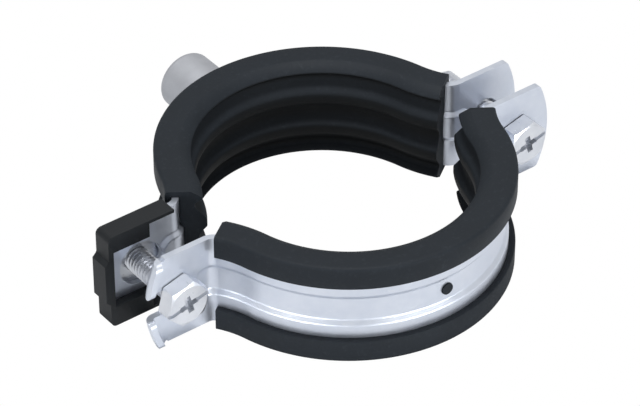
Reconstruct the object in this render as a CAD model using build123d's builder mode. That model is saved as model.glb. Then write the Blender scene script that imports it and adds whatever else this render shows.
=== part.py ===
"""Rubber lined pipe clamp with two side screws, one of them a quick-lock screw.

The clamp is two pressed steel halves. Each half is lined with a ribbed rubber strip, and the
back half carries a round connection nut for a threaded rod. The right screw is tapped into the
back half. The left screw hangs in a nut plate that a plastic holder keeps on the back half, and
hooks into the open slot of the front half.

Frame: +Z along the pipe, +Y from the front half to the back half, +X towards the plain side.
The origin is on the back half's pipe axis, half way up the band. All sizes are in millimetres.
"""

import os
from math import asin, cos, degrees, radians, sin, sqrt, tan

from build123d import *

os.makedirs("parts", exist_ok=True)

# ---------------------------------------------------------------- driving dimensions
# pipe and lining
pipe_diameter = 57.0
edge_setback = 0.7              # the lining's edges stand this far back from the rib tops
rib_depth = 2.9                 # rib top down to the hollow beside it
rib_top = 1.2                   # width of a rib's top
rib_spacing = 6.8               # between the two ribs' middles
valley_depth = 1.8              # rib top down to the valley between the ribs
rib_steep_run = 1.4             # axial run of a rib's side towards the valley
rib_long_run = 5.4              # axial run of a rib's side towards the hollow
hollow_round = 1.6
rib_round = 0.35
rubber_thickness = 3.3          # rubber under the hollows
rim_wall = 1.4                  # rubber past the band's edge
rim_inner_width = 0.9           # straight inner side of each rim
rim_round = 0.8
lip_wall = 1.5                  # rubber over the band's outer face
lip_cover = 4.2                 # width of steel that each lip covers
lip_round = 0.4
lining_fit = 0.1                # gap between rubber and steel
stud_diameter = 2.8             # moulded stud that keeps the front lining in place
stud_proud = 0.4                # height of the stud above the band

# steel bands
band_width = 23.0
band_thickness = 1.5
bead_floor = 5.8                # width of the pressed groove's floor
bead_flank = 1.2                # axial run of each side of the groove
bead_depth = 0.9
bead_round = 0.8
flare_radius = 23.0             # outer radius of the ring's gentle turn outwards
flare_end = 35.0                # degrees it turns to; the lining is cut square here
bend_radius = 2.2               # outer radius of the tight bend on into the ear
locating_hole_diameter = 3.0

# ears
ear_margin = 9.0                # screw axis to the middle of an ear's crowned edge
ear_crown = 2.7                 # rise of that edge
ear_corner_round = 1.2
ear_setback = 0.3               # split plane to the facing side of an ear
quick_ear_setback = 3.0         # the same for the back left ear, which has the holder round it
opening = 9.6                   # how far the front half is drawn forward

# M6 screws and their holes
screw_offset = 11.7             # band's outside to the axis of a screw
screw_diameter = 6.0
screw_length = 28.0
screw_point = 0.8
thread_fit = 0.05
clear_hole_diameter = 6.6
head_across_flats = 10.0
head_height = 4.0
head_bevel = 0.55               # depth of the bevel at a hexagon's corners
head_gap = 0.2                  # the heads stand off the ears by this, the screws are loose
head_turn = 14.7                # degrees that the hexagons stand turned
driver_slot_width = 1.0
driver_slot_depth = 0.8
cross_width = 1.5
cross_length = 4.6
cross_depth = 1.8
collar_diameter = 9.0           # drawn collar of the tapped hole
collar_height = 2.5
funnel_diameter = 7.4           # rolled-in mouth of the tapped hole
funnel_depth = 0.7

# open slot of the front left ear
slot_width = 6.5
catch_height = 1.9              # the turned-forward edge stands this far in front of the ear
catch_bend = 1.0                # inner radius of its bend
catch_round = 1.5               # rounding of the turned edge's corners

# plastic holder and nut plate of the quick-lock screw
tilt_hole_diameter = 11.0       # lets the screw swing out of the slot
nut_plate_diameter = 16.6
nut_plate_flats = 13.0
nut_plate_thickness = 2.6
nut_plate_gap = 0.05
holder_fit = 0.1
holder_wall = 0.8               # over the ear's top and bottom edges
holder_front = 0.7              # split plane to the holder's front
holder_rear_wall = 1.0
holder_side = 0.7               # ear's crown to the holder's flat side
holder_start = 0.9              # tight bend to the inner ends of the holder
holder_corner = 1.4
bulge_rise = 1.1                # middle of the flat side, raised over the ear's crown
bulge_height = 10.0
window_margin = 1.3             # width of the front wall outside the window
window_top = 8.0                # above the screw's axis
window_bottom = 7.2             # below it
window_step = 1.2               # the upper front wall ends this far inside the screw's axis
lower_wall_end = 1.6            # and the lower front wall this far
pocket_fit = 0.15
pocket_wall = 1.15
housing_floor = 0.8
swing_hole_diameter = 9.0

# connection nut for M8 and M10 rods
boss_diameter = 14.2
boss_height = 17.7              # band's outside to the boss's free face
boss_round = 1.3
boss_fit = 0.05
large_thread_radius = 4.25      # M10, tapping drill
large_thread_length = 8.5
small_thread_radius = 3.4       # M8, tapping drill
small_thread_length = 7.0
drill_point = 118.0             # degrees across the drilled bottom
mouth_bevel = 0.8

# ---------------------------------------------------------------- sizes worked out from these
pipe_radius = pipe_diameter / 2
rim_radius = pipe_radius + edge_setback
hollow_radius = pipe_radius + rib_depth
valley_radius = pipe_radius + valley_depth
bed_radius = hollow_radius + rubber_thickness
band_inner = bed_radius + lining_fit
band_outer = band_inner + band_thickness
groove_outer = band_outer - bead_depth
lip_radius = band_outer + lining_fit + lip_wall
half_band = band_width / 2
half_lining = half_band + lining_fit + rim_wall
bead_edge = bead_floor / 2 + bead_flank
bead_end = bead_edge + bead_round

flare_centre_radius = band_outer + flare_radius
screw_radius = screw_diameter / 2
tapped_radius = screw_radius + thread_fit

screw_reach = band_outer + screw_offset
ear_reach = screw_reach + ear_margin
ear_arc_radius = (half_band**2 + ear_crown**2) / (2 * ear_crown)
ear_arc_centre = ear_reach - ear_arc_radius

front_ear_face = -opening - ear_setback - band_thickness
quick_ear_rear = quick_ear_setback + band_thickness
nut_plate_rear = quick_ear_rear + nut_plate_gap + nut_plate_thickness
housing_rear = nut_plate_rear + nut_plate_gap + housing_floor
holder_rear = quick_ear_rear + holder_fit + holder_rear_wall
holder_half = half_band + holder_fit + holder_wall
holder_reach = ear_reach + holder_side
bulge_reach = holder_reach + bulge_rise
housing_radius = nut_plate_diameter / 2 + pocket_fit + pocket_wall
boss_end = band_outer + boss_height


def bend_centre_y(setback):
    """Height of the tight bend's centre over the split plane."""
    return setback + band_thickness + bend_radius


def flare_centre(setback):
    """Centre of the gentle turn outwards, on the +X side."""
    y = bend_centre_y(setback) + (flare_radius - bend_radius) * sin(radians(flare_end))
    return sqrt(flare_centre_radius**2 - y**2), y


def flare_turn(setback):
    """Degrees round the ring, from the split plane, at which the turn outwards begins."""
    return degrees(asin(flare_centre(setback)[1] / flare_centre_radius))


def ear_root(setback):
    """Pipe axis to the tight bend's centre, where the ear becomes flat."""
    return flare_centre(setback)[0] - (flare_radius - bend_radius) * cos(radians(flare_end))


def section_plane(turn, x=0.0, y=0.0):
    """Upright plane whose local x points along `turn` and whose local y is +Z."""
    return Plane(
        origin=(x, y, 0),
        x_dir=(cos(radians(turn)), sin(radians(turn)), 0),
        z_dir=(sin(radians(turn)), -cos(radians(turn)), 0),
    )


# ---------------------------------------------------------------- profiles
def half_sheet_profile(half_width):
    """Upper half of the sheet's section: radius across, height up, groove at the bottom."""
    with BuildSketch() as profile:
        with BuildLine():
            Polyline(
                (band_inner - bead_depth, 0),
                (groove_outer, 0),
                (groove_outer, bead_floor / 2),
                (band_outer, bead_edge),
                (band_outer, half_width),
                (band_inner, half_width),
                (band_inner, bead_edge),
                (band_inner - bead_depth, bead_floor / 2),
                close=True,
            )
        make_face()
        fillet(profile.vertices().filter_by_position(Axis.Y, 0.01, bead_edge + 0.01), bead_round)
    return profile.sketch


def sheet_profile():
    """Whole section of the sheet."""
    with BuildSketch() as profile:
        add(half_sheet_profile(half_band))
        mirror(about=Plane.XZ)
    return profile.sketch


def lining_profile():
    """Section of the rubber: two ribs inside, and a lip round each edge of the band."""
    rib_inner_side = rib_spacing / 2 - rib_top / 2
    rib_outer_side = rib_spacing / 2 + rib_top / 2
    lip_start = half_band - lip_cover
    with BuildSketch() as profile:
        with BuildLine():
            Polyline(
                (valley_radius, 0),
                (valley_radius, rib_inner_side - rib_steep_run),
                (pipe_radius, rib_inner_side),
                (pipe_radius, rib_outer_side),
                (hollow_radius, rib_outer_side + rib_long_run),
                (rim_radius, half_lining - rim_inner_width),
                (rim_radius, half_lining),
                (lip_radius, half_lining),
                (lip_radius, lip_start),
                (band_outer + lining_fit, lip_start),
                (band_outer + lining_fit, half_band + lining_fit),
                (bed_radius, half_band + lining_fit),
                (bed_radius, bead_edge + lining_fit),
                (bed_radius - bead_depth, bead_floor / 2 + lining_fit),
                (bed_radius - bead_depth, 0),
                close=True,
            )
        make_face()
        tops = profile.vertices().filter_by_position(Axis.X, pipe_radius, pipe_radius)
        fillet(tops, rib_round)
        hollows = profile.vertices().filter_by_position(Axis.X, hollow_radius, hollow_radius)
        fillet(hollows, hollow_round)
        rims = profile.vertices().filter_by_position(Axis.Y, half_lining, half_lining)
        fillet(rims.sort_by(Axis.X)[-1], rim_round)
        fillet(rims.sort_by(Axis.X)[0], rim_round / 2)
        lips = profile.vertices().filter_by_position(Axis.Y, lip_start, lip_start)
        fillet(lips.sort_by(Axis.X)[-1], lip_round)
        mirror(about=Plane.XZ)
    return profile.sketch


# ---------------------------------------------------------------- one half, lying on the +Y side
def half_ring(profile, left_setback, with_bends):
    """Turns a section round the half ring, out along both flares and, for steel, round the bends."""
    with BuildPart() as ring:
        right_turn = flare_turn(ear_setback)
        left_turn = flare_turn(left_setback)
        with BuildSketch(section_plane(right_turn)):
            add(profile)
        revolve(axis=Axis.Z, revolution_arc=180 - right_turn - left_turn)
        for side, setback in ((1, ear_setback), (-1, left_setback)):
            centre_x, centre_y = flare_centre(setback)
            start = 90 - side * (90 - flare_turn(setback))
            with BuildSketch(section_plane(start)):
                add(profile)
            revolve(
                axis=Axis((side * centre_x, centre_y, 0), (0, 0, side)),
                revolution_arc=flare_end - flare_turn(setback),
            )
            if with_bends:
                finish = 90 - side * (90 - flare_end)
                origin_x = side * (centre_x - flare_centre_radius * cos(radians(flare_end)))
                origin_y = centre_y - flare_centre_radius * sin(radians(flare_end))
                with BuildSketch(section_plane(finish, origin_x, origin_y)):
                    add(profile)
                revolve(
                    axis=Axis((side * ear_root(setback), bend_centre_y(setback), 0), (0, 0, side)),
                    revolution_arc=90 - flare_end,
                )
    return ring.part


def ear_outline(side, root, grow):
    """An ear seen from the front, from `root` out to its crowned edge."""
    corner = ear_arc_centre + sqrt((ear_arc_radius + grow) ** 2 - (half_band + grow) ** 2)
    with BuildSketch() as outline:
        with BuildLine():
            Polyline(
                (side * corner, -half_band - grow),
                (side * root, -half_band - grow),
                (side * root, half_band + grow),
                (side * corner, half_band + grow),
            )
            ThreePointArc(
                (side * corner, half_band + grow),
                (side * (ear_reach + grow), 0),
                (side * corner, -half_band - grow),
            )
        make_face()
        corners = outline.vertices().group_by(Axis.X)[-1 if side > 0 else 0]
        fillet(corners, ear_corner_round)
    return outline.sketch


def ear_blank(side, setback):
    """A flat ear with the rounded end of the pressed groove."""
    root = ear_root(setback)
    with BuildPart() as ear:
        with BuildSketch(Plane.XZ.offset(-setback)):
            add(ear_outline(side, root, 0))
            with Locations((side * root, 0)):
                Circle(bead_end, mode=Mode.SUBTRACT)
        extrude(amount=-band_thickness)
        upright = Plane(
            origin=(side * root, setback - band_inner, 0), x_dir=(0, 1, 0), z_dir=(1, 0, 0)
        )
        with BuildSketch(upright):
            add(half_sheet_profile(bead_end))
        revolve(axis=Axis((side * root, 0, 0), (0, side, 0)), revolution_arc=180)
    return ear.part


def band_blank(left_setback):
    """Ring and two ears of one half, before its holes."""
    with BuildPart() as blank:
        add(half_ring(sheet_profile(), left_setback, True))
        add(ear_blank(1, ear_setback))
        add(ear_blank(-1, left_setback))
    return blank.part


def lining_blank(left_setback):
    """One rubber strip, cut square where the flares end."""
    return half_ring(lining_profile(), left_setback, False)


def to_front(blank):
    """Turns a blank over to the -Y side and draws it forward."""
    return blank.mirror(Plane.XZ).moved(Location((0, -opening, 0)))


back_blank = band_blank(quick_ear_setback)
front_blank = to_front(band_blank(ear_setback))
front_rubber = to_front(lining_blank(ear_setback))

# ---------------------------------------------------------------- back band
with BuildPart() as back_band:
    add(back_blank)
    # drawn and tapped collar of the right ear
    with BuildSketch(Plane.XZ.offset(-ear_setback - band_thickness / 2)):
        with Locations((screw_reach, 0)):
            Circle(collar_diameter / 2)
    extrude(amount=-band_thickness / 2 - collar_height)
    with BuildSketch(Plane.XZ.offset(bead_depth)):
        with Locations((screw_reach, 0)):
            Circle(tapped_radius)
    extrude(amount=-bead_depth - ear_setback - band_thickness - collar_height, mode=Mode.SUBTRACT)
    with BuildSketch(Plane.XY):
        with BuildLine():
            Polyline(
                (screw_reach, ear_setback),
                (screw_reach + funnel_diameter / 2, ear_setback),
                (screw_reach + tapped_radius, ear_setback + funnel_depth),
                (screw_reach, ear_setback + funnel_depth),
                close=True,
            )
        make_face()
    revolve(axis=Axis((screw_reach, 0, 0), (0, 1, 0)), mode=Mode.SUBTRACT)
    with BuildSketch(Plane.XZ.offset(bead_depth)):
        with Locations((screw_reach, 0)):
            Circle(funnel_diameter / 2)
    extrude(amount=-bead_depth - ear_setback, mode=Mode.SUBTRACT)
    # large hole of the left ear
    with BuildSketch(Plane.XZ.offset(-quick_ear_setback + bead_depth)):
        with Locations((-screw_reach, 0)):
            Circle(tilt_hole_diameter / 2)
    extrude(amount=-bead_depth - band_thickness, mode=Mode.SUBTRACT)
back_band.part.label = "back_band"
export_step(back_band.part, "parts/back_band.step")

# ---------------------------------------------------------------- front band
catch_inner = ear_arc_radius - band_thickness
catch_start = catch_inner - catch_bend - 0.3
catch_top = front_ear_face - catch_height
catch_turn = degrees(asin(half_band / ear_arc_radius)) + 2
catch_plane = Plane(
    origin=(-ear_arc_centre, 0, 0),
    x_dir=(-cos(radians(catch_turn)), 0, -sin(radians(catch_turn))),
    z_dir=(sin(radians(catch_turn)), 0, -cos(radians(catch_turn))),
)

with BuildPart() as catch:
    # turned edge, revolved about the middle of the ear's crown
    with BuildSketch(catch_plane) as catch_profile:
        with BuildLine():
            Polyline(
                (catch_start, front_ear_face),
                (catch_start, front_ear_face + band_thickness),
                (ear_arc_radius, front_ear_face + band_thickness),
                (ear_arc_radius, catch_top),
                (catch_inner, catch_top),
                (catch_inner, front_ear_face),
                close=True,
            )
        make_face()
        at_outer = catch_profile.vertices().filter_by_position(Axis.X, ear_arc_radius, ear_arc_radius)
        fillet(at_outer.sort_by(Axis.Y)[-1], catch_bend + band_thickness)
        at_inner = catch_profile.vertices().filter_by_position(Axis.X, catch_inner, catch_inner)
        fillet(at_inner.sort_by(Axis.Y)[-1], catch_bend)
    revolve(axis=Axis((-ear_arc_centre, 0, 0), (0, 1, 0)), revolution_arc=2 * catch_turn)
    # trimmed to the ear's outline
    with BuildSketch(Plane.XZ.offset(-catch_top)):
        add(ear_outline(-1, screw_reach, 0))
    extrude(amount=-catch_height - band_thickness, mode=Mode.INTERSECT)
    # rounded corners, one lip on each side of the slot
    with BuildSketch(Plane.YZ.offset(-ear_reach)):
        for way in (1, -1):
            with Locations((catch_top, way * (half_band + slot_width / 2) / 2)):
                RectangleRounded(
                    2 * (catch_height + band_thickness),
                    half_band - slot_width / 2,
                    catch_round,
                    align=(Align.MIN, Align.CENTER),
                )
    extrude(amount=ear_reach - screw_reach, mode=Mode.INTERSECT)

with BuildPart() as front_band:
    add(front_blank)
    # the left ear's crowned edge gives way to the catch
    with BuildSketch(Plane.XZ.offset(-front_ear_face)):
        add(ear_outline(-1, screw_reach, 0))
        with Locations((-ear_arc_centre, 0)):
            Circle(catch_start, mode=Mode.SUBTRACT)
    extrude(amount=-band_thickness, mode=Mode.SUBTRACT)
    add(catch.part)
    # open slot, with a rounded mouth
    with BuildSketch(Plane.XZ.offset(-catch_top)) as slot:
        with Locations((-screw_reach, 0)):
            Circle(slot_width / 2)
        with Locations((-screw_reach, 0)):
            Rectangle(ear_reach, slot_width, align=(Align.MAX, Align.CENTER))
    extrude(amount=-catch_height - band_thickness - bead_depth, mode=Mode.SUBTRACT)
    # clearance hole of the right ear and the small locating hole of the ring
    with BuildSketch(Plane.XZ.offset(-front_ear_face)):
        with Locations((screw_reach, 0)):
            Circle(clear_hole_diameter / 2)
    extrude(amount=-band_thickness - bead_depth, mode=Mode.SUBTRACT)
    with BuildSketch(Plane.XZ.offset(opening)):
        Circle(locating_hole_diameter / 2)
    extrude(amount=band_outer, mode=Mode.SUBTRACT)
front_band.part.label = "front_band"
export_step(front_band.part, "parts/front_band.step")

# ---------------------------------------------------------------- rubber linings
with BuildPart() as back_lining:
    add(lining_blank(quick_ear_setback))
back_lining.part.label = "back_lining"
export_step(back_lining.part, "parts/back_lining.step")

with BuildPart() as front_lining:
    add(front_rubber)
    # moulded stud that stands in the band's locating hole
    with BuildSketch(Plane.XZ.offset(opening + bed_radius - rubber_thickness / 2)):
        Circle(stud_diameter / 2)
    extrude(amount=groove_outer + stud_proud - bed_radius + rubber_thickness / 2)
front_lining.part.label = "front_lining"
export_step(front_lining.part, "parts/front_lining.step")

# ---------------------------------------------------------------- connection nut
small_thread_bottom = boss_end - large_thread_length - small_thread_length
drill_tip = small_thread_bottom - small_thread_radius / tan(radians(drill_point / 2))

with BuildPart() as connection_nut:
    with BuildSketch(Plane.XY):
        Rectangle(boss_diameter / 2, boss_end, align=(Align.MIN, Align.MIN))
    revolve(axis=Axis.Y)
    rim = connection_nut.edges().filter_by(GeomType.CIRCLE).sort_by(Axis.Y)[-1]
    fillet(rim, boss_round)
    # its foot is shaped to the band
    with BuildSketch(section_plane(0)):
        with BuildLine():
            Polyline(
                (0, 0),
                (groove_outer + boss_fit, 0),
                (groove_outer + boss_fit, bead_floor / 2),
                (band_outer + boss_fit, bead_edge),
                (band_outer + boss_fit, half_band),
                (0, half_band),
                close=True,
            )
        make_face()
        mirror(about=Plane.XZ)
    revolve(axis=Axis.Z, mode=Mode.SUBTRACT)
    with BuildSketch(Plane.XY):
        with BuildLine():
            Polyline(
                (0, drill_tip),
                (small_thread_radius, small_thread_bottom),
                (small_thread_radius, boss_end - large_thread_length),
                (large_thread_radius, boss_end - large_thread_length),
                (large_thread_radius, boss_end - mouth_bevel),
                (large_thread_radius + mouth_bevel, boss_end),
                (0, boss_end),
                close=True,
            )
        make_face()
    revolve(axis=Axis.Y, mode=Mode.SUBTRACT)
connection_nut.part.label = "connection_nut"
export_step(connection_nut.part, "parts/connection_nut.step")

# ---------------------------------------------------------------- screws
head_seat = front_ear_face - head_gap


def make_screw(reach):
    """Hexagon head screw pointing along +Y, with a slot and cross recess in its head."""
    head_face = head_seat - head_height
    corner_radius = head_across_flats / sqrt(3)
    with BuildPart() as screw:
        with BuildSketch(Plane.XZ.offset(-head_face)):
            with Locations((reach, 0)):
                RegularPolygon(head_across_flats / 2, 6, major_radius=False, rotation=head_turn)
        extrude(amount=-head_height)
        # bevelled face of the hexagon
        with BuildSketch(Plane.XY):
            with BuildLine():
                Polyline(
                    (reach, head_face),
                    (reach + head_across_flats / 2 - 0.3, head_face),
                    (reach + corner_radius + 0.1, head_face + head_bevel),
                    (reach + corner_radius + 0.1, head_seat),
                    (reach, head_seat),
                    close=True,
                )
            make_face()
        revolve(axis=Axis((reach, 0, 0), (0, 1, 0)), mode=Mode.INTERSECT)
        with BuildSketch(Plane.XZ.offset(-head_face)):
            with Locations(Location((reach, 0), head_turn)):
                Rectangle(2 * corner_radius, driver_slot_width)
        extrude(amount=-driver_slot_depth, mode=Mode.SUBTRACT)
        with BuildSketch(Plane.XZ.offset(-head_face)):
            with Locations(Location((reach, 0), head_turn)):
                Rectangle(cross_length, cross_width)
                Rectangle(cross_width, cross_length)
        extrude(amount=-cross_depth, taper=8, mode=Mode.SUBTRACT)
        with BuildSketch(Plane.XZ.offset(-head_seat)):
            with Locations((reach, 0)):
                Circle(screw_radius)
        extrude(amount=-screw_length)
        point = screw.edges().filter_by(GeomType.CIRCLE).sort_by(Axis.Y)[-1]
        chamfer(point, screw_point)
    return screw.part


right_screw = make_screw(screw_reach)
right_screw.label = "right_screw"
export_step(right_screw, "parts/right_screw.step")

left_screw = make_screw(-screw_reach)
left_screw.label = "left_screw"
export_step(left_screw, "parts/left_screw.step")

# ---------------------------------------------------------------- nut plate of the left screw
with BuildPart() as left_nut:
    with BuildSketch(Plane.XZ.offset(-quick_ear_rear - nut_plate_gap)):
        with Locations((-screw_reach, 0)):
            Circle(nut_plate_diameter / 2)
            Rectangle(nut_plate_diameter, nut_plate_flats, mode=Mode.INTERSECT)
            Circle(tapped_radius, mode=Mode.SUBTRACT)
    extrude(amount=-nut_plate_thickness)
left_nut.part.label = "left_nut"
export_step(left_nut.part, "parts/left_nut.step")

# ---------------------------------------------------------------- plastic holder
holder_inner_reach = ear_root(quick_ear_setback) + holder_start
bulge_foot = bulge_height / 2 + bulge_rise
with BuildPart() as screw_holder:
    # box round the ear, with a rounded middle over the ear's crown
    with BuildSketch(Plane.XZ.offset(-holder_front)) as shell:
        with Locations((-holder_inner_reach, 0)):
            Rectangle(
                holder_reach - holder_inner_reach, 2 * holder_half, align=(Align.MAX, Align.CENTER)
            )
        fillet(shell.vertices().group_by(Axis.X)[0], holder_corner)
        with BuildLine():
            Polyline(
                (-holder_reach, bulge_foot),
                (-holder_inner_reach, bulge_foot),
                (-holder_inner_reach, -bulge_foot),
                (-holder_reach, -bulge_foot),
                (-bulge_reach, -bulge_height / 2),
            )
            Line((-bulge_reach, -bulge_height / 2), (-bulge_reach, bulge_height / 2))
            Line((-bulge_reach, bulge_height / 2), (-holder_reach, bulge_foot))
        make_face()
    extrude(amount=holder_front - holder_rear)
    # round housing of the nut plate on the rear
    with BuildSketch(Plane.XZ.offset(-holder_rear)):
        with Locations((-screw_reach, 0)):
            Circle(housing_radius)
    extrude(amount=holder_rear - housing_rear)
    fillet(screw_holder.edges().filter_by(GeomType.CIRCLE).sort_by(Axis.Y)[-1], holder_wall)
    # space for the ear
    with BuildSketch(Plane.XZ.offset(-quick_ear_setback + holder_fit)):
        add(ear_outline(-1, holder_inner_reach, holder_fit))
    extrude(amount=-band_thickness - 2 * holder_fit, mode=Mode.SUBTRACT)
    # window in the front wall
    with BuildSketch(Plane.XZ.offset(-holder_front)):
        with Locations((window_margin - holder_reach, -window_bottom)):
            Rectangle(ear_reach, window_bottom + window_top, align=(Align.MIN, Align.MIN))
        with Locations((window_step - screw_reach, 0)):
            Rectangle(ear_reach, half_band + holder_fit, align=(Align.MIN, Align.MIN))
        with Locations((lower_wall_end - screw_reach, 0)):
            Rectangle(ear_reach, half_band + holder_fit, align=(Align.MIN, Align.MAX))
    extrude(amount=holder_front - quick_ear_setback, mode=Mode.SUBTRACT)
    # pocket of the nut plate and the wide hole behind it
    with BuildSketch(Plane.XZ.offset(-quick_ear_rear)):
        with Locations((-screw_reach, 0)):
            Circle(nut_plate_diameter / 2 + pocket_fit)
            Rectangle(
                nut_plate_diameter + 4 * pocket_fit,
                nut_plate_flats + 2 * pocket_fit,
                mode=Mode.INTERSECT,
            )
    extrude(amount=quick_ear_rear - nut_plate_rear - nut_plate_gap, mode=Mode.SUBTRACT)
    with BuildSketch(Plane.XZ.offset(-nut_plate_rear)):
        with Locations((-screw_reach, 0)):
            Circle(swing_hole_diameter / 2)
    extrude(amount=nut_plate_rear - housing_rear, mode=Mode.SUBTRACT)
screw_holder.part.label = "screw_holder"
export_step(screw_holder.part, "parts/screw_holder.step")
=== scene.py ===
import math

import bmesh
import bpy
from mathutils import Matrix, Vector


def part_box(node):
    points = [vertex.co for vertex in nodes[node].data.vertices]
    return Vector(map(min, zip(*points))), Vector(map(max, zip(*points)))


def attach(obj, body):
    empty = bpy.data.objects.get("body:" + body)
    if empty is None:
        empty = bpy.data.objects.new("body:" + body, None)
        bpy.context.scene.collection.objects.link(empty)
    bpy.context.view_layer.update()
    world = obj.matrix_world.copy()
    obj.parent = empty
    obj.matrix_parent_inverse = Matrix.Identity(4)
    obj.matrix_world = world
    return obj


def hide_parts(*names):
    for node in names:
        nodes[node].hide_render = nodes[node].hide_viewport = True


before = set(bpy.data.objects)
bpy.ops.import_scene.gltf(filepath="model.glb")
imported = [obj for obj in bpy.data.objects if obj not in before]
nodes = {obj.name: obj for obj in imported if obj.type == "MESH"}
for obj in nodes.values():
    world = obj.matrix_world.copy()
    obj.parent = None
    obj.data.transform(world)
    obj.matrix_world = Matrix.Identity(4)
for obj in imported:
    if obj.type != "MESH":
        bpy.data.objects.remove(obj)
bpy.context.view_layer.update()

MM = 0.001
SAME_POINT = 0.000001           # corners nearer than this are merged
ON_PLANE = 0.0000001            # how near to a cutting plane counts as on it


# ---------------------------------------------------------------- shader maths
class Wire:
    """A socket that can be added, subtracted, multiplied and divided like a number."""

    def __init__(self, graph, socket):
        self.graph = graph
        self.socket = socket

    def _maths(self, operation, a, b):
        return self.graph.node("ShaderNodeMath", {"operation": operation}, {0: a, 1: b})

    def __add__(self, other):
        return self._maths("ADD", self, other)

    __radd__ = __add__

    def __mul__(self, other):
        return self._maths("MULTIPLY", self, other)

    __rmul__ = __mul__

    def __sub__(self, other):
        return self._maths("SUBTRACT", self, other)

    def __rsub__(self, other):
        return self._maths("SUBTRACT", other, self)

    def __truediv__(self, other):
        return self._maths("DIVIDE", self, other)

    def __rtruediv__(self, other):
        return self._maths("DIVIDE", other, self)

    def __pow__(self, other):
        return self._maths("POWER", self, other)

    def maximum(self, other):
        return self._maths("MAXIMUM", self, other)

    def clamped(self):
        return self.graph.node("ShaderNodeClamp", {}, {"Value": self})


class Graph:
    """The nodes of a material or of the world."""

    def __init__(self, tree, output):
        self.tree = tree
        self.tree.nodes.clear()
        self.output = self.tree.nodes.new(output)

    def node(self, kind, settings=None, inputs=None, out=0):
        made = self.tree.nodes.new(kind)
        for name, value in (settings or {}).items():
            if name == "stops":
                ramp = made.color_ramp.elements
                while len(ramp) < len(value):
                    ramp.new(0.5)
                for stop, (position, colour) in zip(ramp, value):
                    stop.position = position
                    stop.color = colour
            else:
                setattr(made, name, value)
        for name, value in (inputs or {}).items():
            if isinstance(value, Wire):
                self.tree.links.new(value.socket, made.inputs[name])
            else:
                made.inputs[name].default_value = value
        return Wire(self, made.outputs[out])

    def ray(self, kind):
        return self.node("ShaderNodeLightPath", out=kind)

    def seen_directly(self):
        """1 where the camera sees the surface itself or sees it through glass."""
        return self.ray("Is Camera Ray").maximum(self.ray("Is Transmission Ray"))

    def blend(self, factor, first, second):
        return self.node("ShaderNodeMixShader", {}, {0: factor, 1: first, 2: second})

    def show(self, shader):
        self.tree.links.new(shader.socket, self.output.inputs["Surface"])


class Finish(Graph):
    """One material."""

    def __init__(self, name):
        self.material = bpy.data.materials.new(name)
        self.material.use_nodes = True
        super().__init__(self.material.node_tree, "ShaderNodeOutputMaterial")

    def place(self):
        """Object coordinates, in metres."""
        return self.node("ShaderNodeTexCoord", out="Object")

    def facing(self):
        """Which way the surface faces."""
        return self.node("ShaderNodeNewGeometry", out="Normal")

    def parts(self, vector):
        split = self.tree.nodes.new("ShaderNodeSeparateXYZ")
        self.tree.links.new(vector.socket, split.inputs[0])
        return [Wire(self, split.outputs[i]) for i in range(3)]

    def stretched(self, vector, scale):
        return self.node("ShaderNodeMapping", {}, {"Vector": vector, "Scale": scale})

    def noise(self, vector, size, detail=3.0, roughness=0.5):
        """Soft noise from 0 to 1 whose blots are about `size` metres across."""
        return self.node(
            "ShaderNodeTexNoise",
            {},
            {"Vector": vector, "Scale": 1 / size, "Detail": detail, "Roughness": roughness},
        )

    def above(self, value, low, high):
        """0 below `low`, 1 above `high`."""
        return self.node(
            "ShaderNodeValToRGB", {"stops": [(low, grey(0.0)), (high, grey(1.0))]}, {"Fac": value}
        )

    def mix(self, factor, first, second):
        return self.node(
            "ShaderNodeMix",
            {"data_type": "RGBA"},
            {0: factor, 6: first, 7: second},
            out=2,
        )

    def bump(self, height, distance, strength=1.0, under=None):
        inputs = {"Height": height, "Distance": distance, "Strength": strength}
        if under is not None:
            inputs["Normal"] = under
        return self.node("ShaderNodeBump", {}, inputs)

    def surface(self, **sockets):
        names = {name.replace("_", " "): value for name, value in sockets.items()}
        self.show(self.node("ShaderNodeBsdfPrincipled", {}, names))
        return self.material


def grey(value):
    return (value, value, value, 1.0)


# ---------------------------------------------------------------- finishes
BLUE_ZINC = (0.50, 0.545, 0.64, 1.0)
PALE_ZINC = (0.72, 0.745, 0.795, 1.0)
RUBBED_ZINC = (0.82, 0.83, 0.84, 1.0)
DARK_SCREW = (0.56, 0.585, 0.64, 1.0)
PALE_SCREW = (0.78, 0.79, 0.81, 1.0)
DARK_TURNED = (0.34, 0.348, 0.372, 1.0)
PALE_TURNED = (0.45, 0.46, 0.487, 1.0)
BLACK_RUBBER = (0.0080, 0.0106, 0.0138, 1.0)
BLOOMED_RUBBER = (0.0150, 0.0188, 0.0240, 1.0)
# near-black colour of the painted shade on rubber faces that look inwards
PAINTED_SHADE_RUBBER = (0.0012, 0.0020, 0.0026, 1.0)
RUBBER_DUST = (0.09, 0.102, 0.118, 1.0)
BLACK_PLASTIC = (0.0035, 0.0046, 0.0058, 1.0)
GREY_PLASTIC = (0.0085, 0.0102, 0.0122, 1.0)


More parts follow.
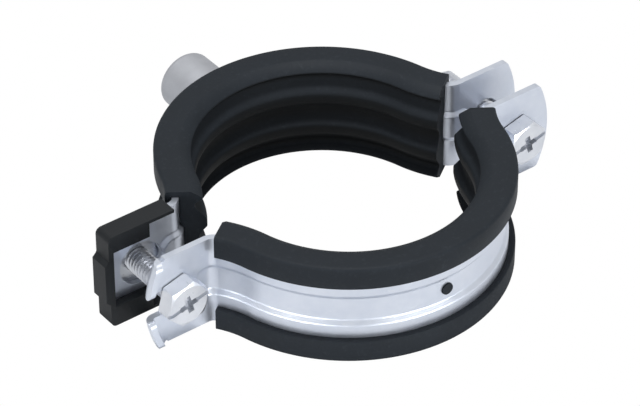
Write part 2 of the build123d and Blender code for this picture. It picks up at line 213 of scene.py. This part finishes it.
def zinc_plate():
    """Bright zinc on pressed steel: faintly blue, soft mottling, fine drawing lines and scuffs."""
    finish = Finish("zinc_plate")
    place = finish.place()
    cloud = finish.noise(place, 0.012, 4.0, 0.55)
    mottle = finish.noise(place, 0.0022, 5.0, 0.6)
    drawn = finish.noise(finish.stretched(place, (0.6, 0.6, 9.0)), 0.0016, 3.0, 0.6)
    scuff = finish.noise(finish.stretched(place, (1.0, 1.0, 4.0)), 0.0045, 6.0, 0.7)
    scuffs = finish.above(scuff, 0.62, 0.72)
    zinc = finish.mix(cloud * 0.6 + mottle * 0.4, BLUE_ZINC, PALE_ZINC)
    dents = finish.bump(mottle, 0.00005, 0.6)
    return finish.surface(
        Base_Color=finish.mix(scuffs * 0.35, zinc, RUBBED_ZINC),
        Metallic=0.93,
        Roughness=0.27 + mottle * 0.14 + cloud * 0.06 - scuffs * 0.06,
        Normal=finish.bump(drawn, 0.000012, 0.6, under=dents),
    )


def turned_zinc():
    """Duller zinc of the turned connection nut, greyer and rougher than the sheet."""
    finish = Finish("turned_zinc")
    place = finish.place()
    cloud = finish.noise(place, 0.004, 4.0, 0.6)
    grain = finish.noise(place, 0.0007, 4.0, 0.65)
    turned = finish.noise(finish.stretched(place, (0.5, 8.0, 0.5)), 0.0014, 3.0, 0.6)
    pits = finish.bump(grain, 0.00003, 0.5)
    return finish.surface(
        Base_Color=finish.mix(cloud, DARK_TURNED, PALE_TURNED),
        Metallic=0.85,
        Roughness=0.50 + cloud * 0.12 + grain * 0.1,
        Normal=finish.bump(turned, 0.00002, 0.6, under=pits),
    )


def screw_zinc():
    """Brighter zinc of the rolled screws and the nut plate."""
    finish = Finish("screw_zinc")
    place = finish.place()
    mottle = finish.noise(place, 0.0012, 5.0, 0.6)
    cloud = finish.noise(place, 0.006, 3.0, 0.5)
    return finish.surface(
        Base_Color=finish.mix(cloud, DARK_SCREW, PALE_SCREW),
        Metallic=0.95,
        Roughness=0.22 + mottle * 0.16,
        Normal=finish.bump(mottle, 0.00003, 0.5),
    )


def lining_rubber():
    """Matt extruded rubber: fine grain, bloom and dust, with painted shade that darkens faces
    looking inwards and not up, as between the ribs.
    """
    finish = Finish("lining_rubber")
    place = finish.place()
    grain = finish.noise(place, 0.0005, 4.0, 0.65)
    cloud = finish.noise(place, 0.007, 4.0, 0.6)
    dust = finish.above(finish.noise(place, 0.0012, 6.0, 0.7), 0.55, 0.8)
    x, y, _ = finish.parts(place)
    across, along, up = finish.parts(finish.facing())
    outward = (across * x + along * y) / ((x * x + y * y) ** 0.5)
    # painted shade: faces that look towards the ring's middle and not up are darkened, so slopes
    # that look up come out lighter
    painted_shade = (outward * -1.0 - up * 1.1).clamped()
    rubber = finish.mix(cloud, BLACK_RUBBER, BLOOMED_RUBBER)
    rubber_with_painted_shade = finish.mix(painted_shade * 0.95, rubber, PAINTED_SHADE_RUBBER)
    return finish.surface(
        # dust patches are kept off the faces that carry painted shade
        Base_Color=finish.mix(dust * (1.0 - painted_shade) * 0.14, rubber_with_painted_shade, RUBBER_DUST),
        Roughness=0.50 + cloud * 0.16 + grain * 0.1,
        Normal=finish.bump(grain, 0.00005, 0.6),
        Specular_IOR_Level=0.17,
    )


def holder_plastic():
    """Black moulded polyamide with a fine eroded texture."""
    finish = Finish("holder_plastic")
    place = finish.place()
    erosion = finish.noise(place, 0.0004, 3.0, 0.6)
    cloud = finish.noise(place, 0.005, 3.0, 0.5)
    return finish.surface(
        Base_Color=finish.mix(cloud, BLACK_PLASTIC, GREY_PLASTIC),
        Roughness=0.42 + cloud * 0.12 + erosion * 0.08,
        Normal=finish.bump(erosion, 0.00004, 0.5),
        Specular_IOR_Level=0.24,
    )


def dress(piece, material):
    piece.data.materials.clear()
    piece.data.materials.append(material)


plate = zinc_plate()
nut_zinc = turned_zinc()
bolt_zinc = screw_zinc()
rubber = lining_rubber()
plastic = holder_plastic()
for band in ("back_band", "front_band"):
    dress(nodes[band], plate)
dress(nodes["connection_nut"], nut_zinc)
dress(nodes["left_nut"], bolt_zinc)
dress(nodes["screw_holder"], plastic)


# ---------------------------------------------------------------- shaping
def close_ends(shape):
    """Caps every open loop that a cut or a sweep left."""
    open_edges = [edge for edge in shape.edges if edge.is_boundary]
    bmesh.ops.holes_fill(shape, edges=open_edges, sides=0)


def cut_off(shape, height, way):
    """Cuts away what lies past `height` along Y, on the +Y side or the -Y side."""
    bmesh.ops.bisect_plane(
        shape,
        geom=shape.verts[:] + shape.edges[:] + shape.faces[:],
        dist=ON_PLANE,
        plane_co=(0, height, 0),
        plane_no=(0, way, 0),
        clear_outer=True,
    )


def into_piece(shape, piece_name, material):
    mesh = bpy.data.meshes.new(piece_name)
    shape.to_mesh(mesh)
    shape.free()
    piece = bpy.data.objects.new(piece_name, mesh)
    bpy.context.scene.collection.objects.link(piece)
    dress(piece, material)
    return piece


# ---------------------------------------------------------------- rolled threads of the screws
THREAD_PITCH = 1.0 * MM
THREAD_CREST = 2.97 * MM
THREAD_ROOT = 2.40 * MM
THREAD_FORM = [                 # radius, and share of the pitch along the screw
    (THREAD_ROOT, 0.0),
    (THREAD_ROOT, 0.12),
    (THREAD_CREST, 0.44),
    (THREAD_CREST, 0.56),
    (THREAD_ROOT, 0.88),
    (THREAD_ROOT, 1.0),
]
THREAD_STEPS = 28               # per turn
THREAD_LEAD = 2                 # turns before the start, cut off again
THREAD_SAME_POINT = 0.01 * MM
THREAD_IN_HEAD = 0.4 * MM
HEAD_CUT = 0.02 * MM            # the head keeps this much of its shank
POINT_LENGTH = 0.8 * MM
SCREW_BLANK = 28.0 * MM


def head_of(name, seat):
    """A screw's own head, without its plain shank."""
    shape = bmesh.new()
    shape.from_mesh(nodes[name].data)
    bmesh.ops.remove_doubles(shape, verts=shape.verts, dist=SAME_POINT)
    cut_off(shape, seat + HEAD_CUT, 1)
    close_ends(shape)
    return shape


def add_thread(shape, middle, start, end):
    """A helical thread along +Y from `start` to the chamfered point at `end`."""
    thread = bmesh.new()
    turns = math.ceil((end - start) / THREAD_PITCH) + THREAD_LEAD
    corners = [
        thread.verts.new((middle + radius, start + (along - THREAD_LEAD) * THREAD_PITCH, 0))
        for radius, along in THREAD_FORM
    ]
    edges = [thread.edges.new(pair) for pair in zip(corners, corners[1:])]
    bmesh.ops.spin(
        thread,
        geom=corners + edges,
        cent=(middle, 0, 0),
        axis=(0, 1, 0),
        dvec=(0, THREAD_PITCH / THREAD_STEPS, 0),
        angle=2 * math.pi * turns,
        steps=THREAD_STEPS * turns,
        use_merge=False,
    )
    bmesh.ops.remove_doubles(thread, verts=thread.verts, dist=THREAD_SAME_POINT)
    cut_off(thread, start, -1)
    cut_off(thread, end, 1)
    close_ends(thread)
    for vert in thread.verts:
        reach = max(math.hypot(vert.co.x - middle, vert.co.z), 1e-9)
        limit = THREAD_CREST - max(vert.co.y - end + POINT_LENGTH, 0)
        ease = min(limit / reach, 1)
        vert.co.x = middle + (vert.co.x - middle) * ease
        vert.co.z *= ease
    bmesh.ops.recalc_face_normals(thread, faces=thread.faces)
    spare = bpy.data.meshes.new("thread_blank")
    thread.to_mesh(spare)
    thread.free()
    shape.from_mesh(spare)
    bpy.data.meshes.remove(spare)


def threaded_screw(name, piece_name):
    low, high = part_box(name)
    middle = (low[0] + high[0]) / 2
    seat = high[1] - SCREW_BLANK
    shape = head_of(name, seat)
    add_thread(shape, middle, seat - THREAD_IN_HEAD, high[1])
    piece = into_piece(shape, piece_name, bolt_zinc)
    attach(piece, name)
    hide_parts(name)


threaded_screw("right_screw", "right_rolled_screw")
threaded_screw("left_screw", "left_rolled_screw")


# ---------------------------------------------------------------- extruded rubber linings
BAND_OUTER = 36.3               # radii and heights in millimetres, as in the solids
GROOVE_DEPTH = 0.9
SHEET = 1.5
BEND_RADIUS = 2.2
FLARE_RADIUS = 23.0
FLARE_END = math.radians(35.0)
EAR_SETBACK = 0.3
QUICK_EAR_SETBACK = 3.0
FRONT_DRAWN = 9.6               # the front half stands this far out
STUD_RADIUS = 1.4
STUD_ROOT = 33.0
STUD_TIP = BAND_OUTER - GROOVE_DEPTH + 0.4
STUD_SIDES = 32
RING_STEPS = 72
FLARE_STEPS = 12
SHARP_EDGE = math.radians(38)
INNER_SIDE = [                  # rib, hollow and bevelled rim: radius, height over the middle
    (30.45, 0.0),
    (30.35, 0.9),
    (30.0, 1.7),
    (28.95, 2.95),
    (28.65, 3.3),
    (28.58, 3.7),
    (28.58, 5.2),
    (28.72, 5.6),
    (29.1, 6.05),
    (31.05, 8.3),
    (31.35, 8.95),
    (31.25, 9.6),
    (30.75, 10.15),
    (29.62, 10.75),
    (29.45, 11.05),
    (29.62, 11.4),
    (32.0, 12.93),
    (32.3, 13.0),
]
OUTER_SIDE = [                  # rounded edge, lip over the band, bed and groove
    (37.1, 13.0),
    (37.42, 12.93),
    (37.72, 12.70),
    (37.86, 12.40),
    (37.9, 12.1),
    (37.9, 7.6),
    (37.75, 7.36),
    (37.5, 7.3),
    (36.4, 7.3),
    (36.4, 11.6),
    (34.7, 11.6),
    (34.7, 4.2),
    (33.8, 3.0),
    (33.8, 0.0),
]


def lining_outline():
    """The whole closed section, upper half and its mirror image."""
    upper = INNER_SIDE + OUTER_SIDE
    lower = [(radius, -height) for radius, height in reversed(upper) if height > 0]
    return upper + lower


def flare(setback):
    """Centre of an end's gentle turn outwards, and the turn round the ring where it begins."""
    up = setback + SHEET + BEND_RADIUS + (FLARE_RADIUS - BEND_RADIUS) * math.sin(FLARE_END)
    reach = BAND_OUTER + FLARE_RADIUS
    out = math.sqrt(reach**2 - up**2)
    return Vector((out * MM, up * MM, 0)), math.asin(up / reach)


def sweep(shape, section, centre, way, angle, steps):
    """Carries a section round an upright axis, and gives the section at the far end."""
    swept = bmesh.ops.spin(
        shape,
        geom=section,
        cent=centre,
        axis=(0, 0, way),
        angle=angle,
        steps=steps,
        use_merge=False,
    )
    return swept["geom_last"]


def lining_strip(left_setback):
    """A lining that lies as the back one does, swept from its right end to its left one."""
    shape = bmesh.new()
    right_centre, right_turn = flare(EAR_SETBACK)
    left_centre, left_turn = flare(left_setback)
    left_centre.x *= -1
    corners = [
        shape.verts.new(
            (
                radius * math.cos(right_turn) * MM,
                radius * math.sin(right_turn) * MM,
                height * MM,
            )
        )
        for radius, height in lining_outline()
    ]
    edges = [shape.edges.new(pair) for pair in zip(corners, corners[1:] + corners[:1])]
    start = corners + edges
    end = sweep(shape, start, (0, 0, 0), 1, math.pi - right_turn - left_turn, RING_STEPS)
    sweep(shape, end, left_centre, -1, FLARE_END - left_turn, FLARE_STEPS)
    sweep(shape, start, right_centre, 1, FLARE_END - right_turn, FLARE_STEPS)
    bmesh.ops.remove_doubles(shape, verts=shape.verts, dist=SAME_POINT)
    close_ends(shape)
    return shape


def add_stud(shape):
    """The moulded stud that fills the band's locating hole."""
    stud = bmesh.ops.create_cone(
        shape,
        cap_ends=True,
        segments=STUD_SIDES,
        radius1=STUD_RADIUS * MM,
        radius2=STUD_RADIUS * MM,
        depth=(STUD_TIP - STUD_ROOT) * MM,
        matrix=Matrix.Rotation(math.pi / 2, 4, "X"),
    )["verts"]
    bmesh.ops.translate(shape, verts=stud, vec=(0, (STUD_TIP + STUD_ROOT) / 2 * MM, 0))


def turn_to_front(shape):
    bmesh.ops.scale(shape, verts=shape.verts, vec=(1, -1, 1))
    bmesh.ops.translate(shape, verts=shape.verts, vec=(0, -FRONT_DRAWN * MM, 0))


def lining(shape, name, piece_name, body):
    bmesh.ops.recalc_face_normals(shape, faces=shape.faces)
    piece = into_piece(shape, piece_name, rubber)
    piece.data.polygons.foreach_set("use_smooth", [True] * len(piece.data.polygons))
    piece.data.set_sharp_from_angle(angle=SHARP_EDGE)
    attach(piece, body)
    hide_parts(name)


lining(lining_strip(QUICK_EAR_SETBACK), "back_lining", "back_rubber", "back_half")
front_strip = lining_strip(EAR_SETBACK)
add_stud(front_strip)
turn_to_front(front_strip)
lining(front_strip, "front_lining", "front_rubber", "front_half")


# ---------------------------------------------------------------- floor and air
FLOOR_REACH = 6.0
FLOOR_GAP = 0.02 * MM
AIR_COLOUR = (0.86, 0.90, 0.96, 1.0)
AIR_STRENGTH = 0.26
AIR_IN_METAL = 0.7              # how much of the white backdrop metal mirrors


def white_paper():
    finish = Finish("white_paper")
    paper = finish.node("ShaderNodeBsdfDiffuse", {}, {"Color": grey(0.8)})
    glow = finish.node("ShaderNodeEmission", {}, {"Color": grey(1.0), "Strength": 1.0})
    finish.show(finish.blend(finish.seen_directly(), paper, glow))
    return finish.material


def studio_floor():
    level = min(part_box(name)[0][2] for name in nodes)
    shape = bmesh.new()
    bmesh.ops.create_grid(shape, x_segments=1, y_segments=1, size=FLOOR_REACH)
    bmesh.ops.translate(shape, verts=shape.verts, vec=(0, 0, level - FLOOR_GAP))
    into_piece(shape, "studio_floor", white_paper())


def studio_air():
    world = bpy.data.worlds.new("studio_air")
    bpy.context.scene.world = world
    world.use_nodes = True
    air = Graph(world.node_tree, "ShaderNodeOutputWorld")
    shown = air.seen_directly().maximum(air.ray("Is Glossy Ray") * AIR_IN_METAL)
    soft = air.node("ShaderNodeBackground", {}, {"Color": AIR_COLOUR, "Strength": AIR_STRENGTH})
    white = air.node("ShaderNodeBackground", {}, {"Color": grey(1.0), "Strength": 1.0})
    air.show(air.blend(shown, soft, white))


studio_floor()
studio_air()


# ---------------------------------------------------------------- lamps and camera
DAYLIGHT = (0.94, 0.97, 1.0)


def softbox(name, place, size, power, colour=(1.0, 1.0, 1.0)):
    """A lit panel that looks at the middle of the clamp."""
    data = bpy.data.lights.new(name, "AREA")
    data.shape = "RECTANGLE"
    data.size, data.size_y = size
    data.energy = power
    data.color = colour
    made = bpy.data.objects.new(name, data)
    made.location = place
    made.rotation_euler = (-Vector(place)).to_track_quat("-Z", "Y").to_euler()
    bpy.context.scene.collection.objects.link(made)


def viewpoint(azimuth, elevation, distance, aim, lens):
    data = bpy.data.cameras.new("viewpoint")
    data.sensor_width = 36.0
    data.lens = lens
    data.clip_start = 0.05
    data.clip_end = 20.0
    made = bpy.data.objects.new("viewpoint", data)
    turn, rise = math.radians(azimuth), math.radians(elevation)
    back = Vector(
        (math.sin(turn) * math.cos(rise), -math.cos(turn) * math.cos(rise), math.sin(rise))
    )
    made.location = Vector(aim) + back * distance
    made.rotation_euler = (-back).to_track_quat("-Z", "Y").to_euler()
    bpy.context.scene.collection.objects.link(made)
    bpy.context.scene.camera = made


softbox("overhead_softbox", (-0.05, -0.04, 0.92), (0.20, 0.16), 7.4)
softbox("left_softbox", (-0.75, -0.30, 0.12), (0.5, 0.22), 2.4, DAYLIGHT)
softbox("front_softbox", (0.10, -0.80, 0.10), (0.5, 0.2), 3.2, DAYLIGHT)
viewpoint(
    azimuth=-37.26,
    elevation=37.74,
    distance=0.778,
    aim=(-0.00433, -0.00494, 0.0009),
    lens=194.65,
)
bpy.context.scene.view_settings.view_transform = "Standard"
